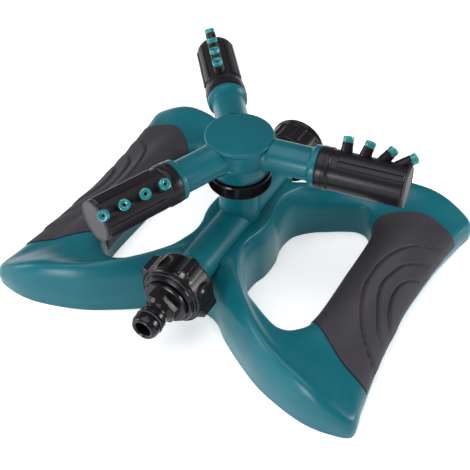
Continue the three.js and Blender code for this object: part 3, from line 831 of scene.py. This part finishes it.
def makeNut():
    r, low, high, bore = (nut[key] for key in ("radius", "back", "front", "bore"))
    lip, lipBore, count = nut["lip"], nut["lipBore"], nut["lobeSteps"]
    wall = [(r, low + 1 + k * 14.6 / count) for k in range(count + 1)]     # fine enough for the lobes
    piece = spun("nut", ringOf([
        (bore, low), (r - 0.9, low), (r - 0.3, low + 0.3), *wall, (r - 0.25, high - 2.7),
        (r - 0.9, high - 2.1), (r - 1.4, high - 2), (r - 1.4, high - 1.5), (r - 1.7, high - 0.9),
        (r - 2.4, high - 0.6), (r - 2.7, high - 0.7), (r - 2.7, high + 0.4), (r - 3.1, high + 1.3),
        (r - 3.8, high + 1.8), (r - 4.7, high + 1.8), (r - 4.9, high + 1.3), (lipBore + 0.3, high + 1.3),
        (lipBore, high + 1), (lipBore, lip), (bore, lip)]), 240)
    step = 360 / nut["lobes"]
    start, full, fading, end = nut["lobeEnds"]
    for vertex in piece.data.vertices:
        place = vertex.co
        if place.xy.length < r - 1:
            continue
        angle = (math.degrees(math.atan2(place.y, place.x)) - nut["firstLobe"] + step / 2) % step - step / 2
        flank = min(max((abs(angle) - nut["lobeTop"]) / (nut["lobeFoot"] - nut["lobeTop"]), 0), 1)
        lobe = (1 - flank) ** 2.2 * ease(place.z, start - 0.4, full) * (1 - ease(place.z, fading, end) ** 1.5)
        place.xy *= 1 + nut["lobeHeight"] * lobe / r
    dimples = []
    reach = r - nut["dimpleDepth"] + nut["dimple"]
    for k in range(nut["lobes"]):
        bpy.ops.object.select_all(action="DESELECT")
        bpy.ops.mesh.primitive_uv_sphere_add(segments=64, ring_count=32, radius=nut["dimple"])
        ball = moved(bpy.context.object, Matrix.Scale(nut["dimpleStretch"], 4, (0, 0, 1)))
        gapTurn = turn(nut["firstLobe"] + (k + 0.5) * step, "Z")
        dimples.append(moved(ball, gapTurn, shift(reach, 0, nut["dimplePlace"])))
    worked(piece, "DIFFERENCE", dimples)
    settle(moved(piece, frontAlongPipe), "inlet_nut", 28)


connector = {
    "bore": 4.7, "inner": 74.2, "flange": 13, "neck": 9.8, "collar": 82.2, "collarRadius": 13.3,
    "hexagon": 10.2, "hexagonStart": 84.4, "hexagonEnd": 89.6, "hexagonTurn": -15,
    "nose": 8, "waist": 6.4, "waistPlace": 92.6, "noseStart": 95.8, "groove": 7.1,
    "grooveStart": 98.4, "grooveEnd": 101, "tip": 106.7,
}


def makeConnector():
    bore, inner, flange, neck = (connector[key] for key in ("bore", "inner", "flange", "neck"))
    low, wide = connector["collar"], connector["collarRadius"]
    nose, start, waist, narrow = (connector[key] for key in ("nose", "noseStart", "waist", "waistPlace"))
    groove, near, far, tip = (connector[key] for key in ("groove", "grooveStart", "grooveEnd", "tip"))
    piece = spun("connector", ringOf([
        (bore, inner), (flange, inner), (flange, inner + 2), (neck, inner + 2), (neck, low),
        (wide - 0.3, low), (wide, low + 0.3), (wide, low + 1.6), (wide - 0.2, low + 2.1),
        (wide - 0.7, low + 2.4), (9, low + 2.4), (8.6, narrow - 2.8), (7.9, narrow - 2.1),
        (waist + 0.5, narrow - 1), (waist, narrow), (waist, narrow + 1.6), (waist + 0.3, start - 1),
        (nose - 0.3, start - 0.4), (nose, start), (nose, near - 0.5), (nose - 0.2, near - 0.2),
        (groove, near), (groove, far), (nose - 0.2, far + 0.1), (nose, far + 0.4), (nose, tip - 3.1),
        (nose - 0.2, tip - 2.1), (nose - 0.7, tip - 0.9), (nose - 1.1, tip - 0.3), (nose - 1.6, tip),
        (bore + 0.8, tip), (bore + 0.3, tip - 0.3), (bore, tip - 0.8)]), 96)
    six, first, last = (connector[key] for key in ("hexagon", "hexagonStart", "hexagonEnd"))
    hexagon = moved(rod("hexagon", six, first, last, 6), turn(connector["hexagonTurn"], "Z"))
    cone = spun("hexagonEdge", [(0, first - 0.4), (six + 0.4, first - 0.4), (six + 0.4, last - 1),
                                (six - 1, last + 0.2), (0, last + 0.2)])
    worked(hexagon, "INTERSECT", [cone])
    worked(hexagon, "DIFFERENCE", [rod("hexagonBore", 6, 80, 95)])
    worked(piece, "UNION", [hexagon])
    settle(moved(piece, frontAlongPipe), "inlet_connector", 28)


outlet = {
    "start": 59.4, "end": 81, "radius": 17.6, "rim": 76.4, "rimRadius": 18.4, "bore": 13.6, "floor": 77.8,
    "flutes": 12, "flute": 4.2, "fluteDepth": 1.1,
}


def makeOutletCap():
    low, high, r, bore = (outlet[key] for key in ("start", "end", "radius", "bore"))
    rim, far, floor = outlet["rim"], outlet["rimRadius"], outlet["floor"]
    piece = spun("outletCap", [
        (0, floor), (bore, floor), (bore, low), (r - 0.7, low), (r - 0.2, low + 0.25), (r, low + 0.8),
        (r, rim - 0.6), (far - 0.3, rim - 0.3), (far, rim + 0.2), (far, rim + 1.4), (far - 0.3, rim + 2),
        (far - 1.2, rim + 2.6), (far - 1.6, rim + 2.7), (far - 2, rim + 3.1), (far - 3.6, rim + 3.6),
        (11, high - 0.5), (5, high - 0.1), (0, high)], 144)
    flutes = []
    for k in range(outlet["flutes"]):
        flute = rod("flute", outlet["flute"], low + 2.4, rim - 1.2, 64)
        soften(flute, 0.8, 3, 60)
        moved(flute, shift(r + outlet["flute"] - outlet["fluteDepth"], 0, 0))
        flutes.append(moved(flute, turn(k * 360 / outlet["flutes"], "Z")))
    worked(piece, "DIFFERENCE", flutes)
    soften(piece, 0.2, 2, 40)
    settle(moved(piece, backAlongPipe), "outlet_cap", 30)


# ---- rotor: hub with three arms, and its lid ----

rotor = {
    "hub": 19.2, "foot": 17.4, "bottom": 73.6, "top": 94.9, "cavity": 12, "partingLine": 84.8,
    "arm": 9.7, "armBore": 6.2,
    "weld": ((10.1, 0), (10.1, 18.9), (9.9, 19.4), (9.7, 20.2)),
    "collar": 12, "collarStart": 44.2, "collarEnd": 47.6, "spigot": 8.6, "spigotEnd": 72,
    "groove": 7.6, "grooveEnds": (65.8, 68.2),      # where each arm's O-ring lies
    "lid": 19.8, "lidBottom": 95.2, "lidRim": 97.6, "crown": 98.9,
}
armAngles = {}       # degrees from +X, and how far each barrel stands turned from upright
armTwists = {}
for side in ("left", "right", "back"):
    pivot = joints[f"{side}_barrel_twist"]
    armAngles[side] = math.degrees(math.atan2(-pivot["axis"][1], -pivot["axis"][0]))
    armTwists[side] = -sum(pivot["range_deg"]) / 2


def alongArm(side):  # heights become distances from the rotor's axis
    return shift(z=armHeight) @ turn(armAngles[side], "Z") @ turn(90, "Y")


def onBarrel(side):  # a piece made along +X with the nozzle row upright
    return shift(z=armHeight) @ turn(armAngles[side], "Z") @ turn(-armTwists[side], "X")


def makeRotor():
    low, high, r, line = rotor["bottom"], rotor["top"], rotor["hub"], rotor["partingLine"]
    arm, collar, spigot = rotor["arm"], rotor["collar"], rotor["spigot"]
    start, end = rotor["collarStart"], rotor["collarEnd"]
    foot = rotor["foot"]
    groove, near, far, tip = rotor["groove"], *rotor["grooveEnds"], rotor["spigotEnd"]
    hub = spun("hub", [(0, low), (foot - 0.9, low), (foot - 0.3, low + 0.2), (foot, low + 0.8),
                       (r - 0.05, line - 0.4), (r - 0.25, line), (r, line + 0.4), (r, high), (0, high)], 160)
    outline = [(0, 0), *rotor["weld"], (arm, start - 1.6), (collar - 0.5, start - 0.2),
               (collar - 0.1, start + 0.3), (collar, start + 0.8), (collar, end - 0.5), (collar - 0.4, end),
               (spigot, end), (spigot, near), (groove, near), (groove, far), (spigot, far),
               (spigot, tip - 0.6), (spigot - 0.6, tip), (0, tip)]
    worked(hub, "UNION", [moved(spun("arm", outline), alongArm(side)) for side in armAngles])
    rooms = [rod("lidRoom", rotor["lid"] + 0.3, high, 110, 96), rod("hubRoom", 8.5, 70, 82, 64),
             rod("cavity", rotor["cavity"], 81.4, 100, 64)]
    rooms += [moved(rod("armRoom", rotor["armBore"], 0, 90, 48), alongArm(side)) for side in armAngles]
    worked(hub, "DIFFERENCE", rooms)
    settle(hub, "rotor_body", 30)

    lid, foot, rim, crown = rotor["lid"], rotor["lidBottom"], rotor["lidRim"], rotor["crown"]
    plug = rotor["cavity"] - 0.3
    cover = spun("lid", [
        (0, foot - 1.8), (plug, foot - 1.8), (plug, foot), (lid - 0.7, foot), (lid - 0.2, foot + 0.2),
        (lid, foot + 0.7), (lid, rim - 0.4), (lid - 0.15, rim), (lid - 0.5, rim + 0.35), (lid - 1, rim + 0.5),
        (lid - 1.5, rim + 0.5), (lid - 2.2, rim + 0.62), (15, rim + 0.86), (12, rim + 1.04), (8, rim + 1.18),
        (4, crown - 0.03), (0, crown)], 144)
    settle(cover, "hub_cap", 30)


# ---- barrels with their stubs, end caps and nozzle tips ----

barrel = {
    "start": 47.9, "end": 96.6, "radius": 11.8, "band": 7, "bandRadius": 12.3, "bore": 9.1,
    "strips": ((34, 58), (61, 74)), "stripStart": 59, "stripRise": 0.7, "steps": 180,
    "capInner": 96.9, "capOuter": 98.4, "cap": 11.7,
    "places": (61, 71.7, 82.4, 93.1), "tilts": (-3, 12, 32, 51),
    "stub": 3.2, "reach": 16.8, "jet": 1.4, "tip": 3.1, "tipHeight": 2.9, "tipBore": 0.9,
}


def alongJet(k):  # from upright on the axis to the place and lean of a nozzle
    lean, r = math.radians(barrel["tilts"][k]), barrel["radius"]
    return (shift(x=barrel["places"][k] - r * math.tan(lean)) @ turn(barrel["tilts"][k], "Y")
            @ shift(z=r / math.cos(lean) - r))


def makeBarrel():
    low, high, r, band = barrel["start"], barrel["end"], barrel["radius"], barrel["bandRadius"]
    wide = low + barrel["band"]
    sleeve = spun("barrel", ringOf([
        (barrel["bore"], low), (band - 0.5, low), (band - 0.1, low + 0.2), (band, low + 0.6),
        (band, low + 3.6), (band - 0.3, low + 3.8), (band - 0.3, low + 4.2), (band, low + 4.4),
        (band, wide - 0.5), (band - 0.15, wide - 0.1), (r + 0.1, wide + 0.1), (r - 0.15, wide + 0.4),
        (r - 0.15, wide + 0.9), (r, wide + 1.1), (r, barrel["stripStart"]), (r, high - 0.8),
        (r, high - 0.35), (r - 0.3, high), (barrel["bore"], high)]), barrel["steps"])
    for near, far in barrel["strips"]:
        only(sleeve)
        bpy.ops.object.mode_set(mode="EDIT")
        bpy.ops.mesh.select_all(action="DESELECT")
        bpy.ops.object.mode_set(mode="OBJECT")
        for face in sleeve.data.polygons:
            middle = face.center
            angle = abs(math.degrees(math.atan2(middle.y, -middle.x)))     # from the nozzle row
            body = barrel["stripStart"] < middle.z < high - 0.8 and middle.xy.length > r - 0.1
            face.select = body and near < angle < far
        bpy.ops.object.mode_set(mode="EDIT")
        bpy.ops.mesh.inset(thickness=0.4, depth=barrel["stripRise"])
        bpy.ops.object.mode_set(mode="OBJECT")
    moved(sleeve, turn(90, "Y"))

    jets = range(len(barrel["places"]))
    reach, stub = barrel["reach"], barrel["stub"]
    stubs = [moved(spun("stub", [(0, 4), (stub + 0.25, 4), (stub + 0.2, 13), (stub, 14), (stub, reach - 0.3),
                                 (stub - 0.3, reach), (0, reach)], 48), alongJet(k)) for k in jets]
    worked(sleeve, "UNION", stubs)
    bores = [rod("chamber", barrel["bore"], 0, 120, 64),
             rod("capRoom", barrel["cap"] + 0.3, high, barrel["capOuter"] + 0.3, 96)]
    rooms = [moved(bore, turn(90, "Y")) for bore in bores]
    rooms += [moved(rod("jet", barrel["jet"], 4, reach + 2, 24), alongJet(k)) for k in jets]
    return worked(sleeve, "DIFFERENCE", rooms)


def makeEndCap():
    cap, inner, outer, plug = barrel["cap"], barrel["capInner"], barrel["capOuter"], barrel["bore"] - 0.3
    return spun("endCap", [
        (0, inner - 2.3), (plug, inner - 2.3), (plug, inner), (cap - 0.15, inner), (cap, inner + 0.15),
        (cap, outer - 0.35), (cap - 0.1, outer - 0.1), (cap - 0.35, outer), (cap - 0.9, outer),
        (cap - 1.1, outer - 0.3), (0, outer - 0.3)])


def makeTip():
    start, r, bore = barrel["reach"] + 0.3, barrel["tip"], barrel["tipBore"]
    top = start + barrel["tipHeight"]
    return spun("tip", ringOf([
        (bore, start), (r - 0.15, start), (r, start + 0.2), (r, top - 0.4), (r - 0.12, top - 0.12),
        (r - 0.4, top), (r - 0.9, top), (r - 1.15, top - 0.2), (1.75, top - 0.65), (bore + 0.1, top - 0.9),
        (bore, top - 1.1)]), 64)


def makeBarrels():
    sleeve, disc, tip = makeBarrel(), makeEndCap(), makeTip()
    for side in armAngles:
        settle(moved(copyOf(sleeve, "sleeve"), onBarrel(side)), f"{side}_barrel", 30)
        settle(moved(copyOf(disc, "disc"), alongArm(side)), f"{side}_barrel_end_cap", 30)
        for k in range(len(barrel["places"])):
            settle(moved(copyOf(tip, "tip"), onBarrel(side), alongJet(k)), f"{side}_nozzle_{k + 1}", 30)
    for pattern in (sleeve, disc, tip):
        bpy.data.objects.remove(pattern)


# ---- pieces inside: bearings, seals and screws ----

inside = {
    "spindle": 8.2, "spindleBore": 5.2, "spindleFoot": 52, "spindleTop": 81,
    "flange": 13.8, "flangeFoot": 69.3, "flangeTop": 70.8,
    "ringGroove": 7.3, "ringGrooveEnds": (58, 60),      # where the spindle's O-ring lies
    "bands": {      # outer and inner radius, low and high end, and the way they lie along
        "riser_bush": (10, 8.6, 49.4, 67.4, Matrix()),
        "thrust_washer": (14.2, 8.6, 68.1, 68.9, Matrix()),
        "inlet_washer": (12.8, 8.4, 72.4, 73.9, frontAlongPipe),
        "outlet_washer": (13.1, 4, 75.9, 77.4, backAlongPipe),
    },
    "screw": 1.6, "screwHead": 3.8, "screwFoot": 6.6, "screwSeat": 9.2, "screwTop": 26.4, "slot": 1,
}


def band(radius, bore, low, high):  # a flat ring with eased edges
    e = 0.15
    return ringOf([(bore + e, low), (radius - e, low), (radius, low + e), (radius, high - e),
                   (radius - e, high), (bore + e, high), (bore, high - e), (bore, low + e)])


def oRing(name, radius, thickness, height):
    bpy.ops.object.select_all(action="DESELECT")
    bpy.ops.mesh.primitive_torus_add(major_radius=radius, minor_radius=thickness, major_segments=72,
                                     minor_segments=20)
    bpy.context.object.name = name
    return moved(bpy.context.object, shift(z=height))


def makeSpindle():
    r, bore, low, high = (inside[key] for key in ("spindle", "spindleBore", "spindleFoot", "spindleTop"))
    wide, foot, top = inside["flange"], inside["flangeFoot"], inside["flangeTop"]
    groove, near, far = inside["ringGroove"], *inside["ringGrooveEnds"]
    settle(spun("spindle", ringOf([
        (bore, low + 0.3), (bore + 0.3, low), (r - 0.3, low), (r, low + 0.3), (r, near), (groove, near),
        (groove, far), (r, far), (r, foot), (wide - 0.3, foot), (wide, foot + 0.3), (wide, top - 0.3),
        (wide - 0.3, top), (r, top), (r, high - 0.3), (r - 0.3, high), (bore + 0.3, high),
        (bore, high - 0.3)])), "spindle", 30)


def makeScrews():
    r, head, half = inside["screw"], inside["screwHead"], inside["slot"] / 2
    low, seat, high = inside["screwFoot"], inside["screwSeat"], inside["screwTop"]
    for y, name in zip(base["screwPlaces"], ("tee_screw_front", "tee_screw_back")):
        screw = spun("screw", [(0, low), (head - 1.4, low), (head - 0.4, low + 0.6), (head, low + 1.3),
                               (head, seat), (r, seat), (r, high - 1), (0, high)], 48)
        worked(screw, "DIFFERENCE", [block("slot", (-2, -half, low - 0.6), (2, half, low + 1)),
                                     block("crossSlot", (-half, -2, low - 0.6), (half, 2, low + 1))])
        settle(moved(screw, shift(y=y)), name, 30)


def makeSeals():
    for node, (*sizes, way) in inside["bands"].items():
        settle(moved(spun("flatRing", band(*sizes)), way), node, 30)
    settle(oRing("spindleRing", 8.05, 0.55, 59), "spindle_o_ring", 60)
    settle(moved(oRing("noseRing", 7.8, 0.65, 99.7), frontAlongPipe), "connector_o_ring", 60)
    for side in armAngles:
        settle(moved(oRing("armRing", 8.35, 0.65, 67), alongArm(side)), f"{side}_arm_o_ring", 60)


for make in (makeBase, makeGrips, makeTee, makeRing, makeNut, makeConnector, makeOutletCap, makeRotor,
             makeBarrels, makeSpindle, makeSeals, makeScrews):
    make()
    print(make.__name__, "done")

boxes = [[list(corner) for corner in pair] for pair in (cadBox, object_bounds())]
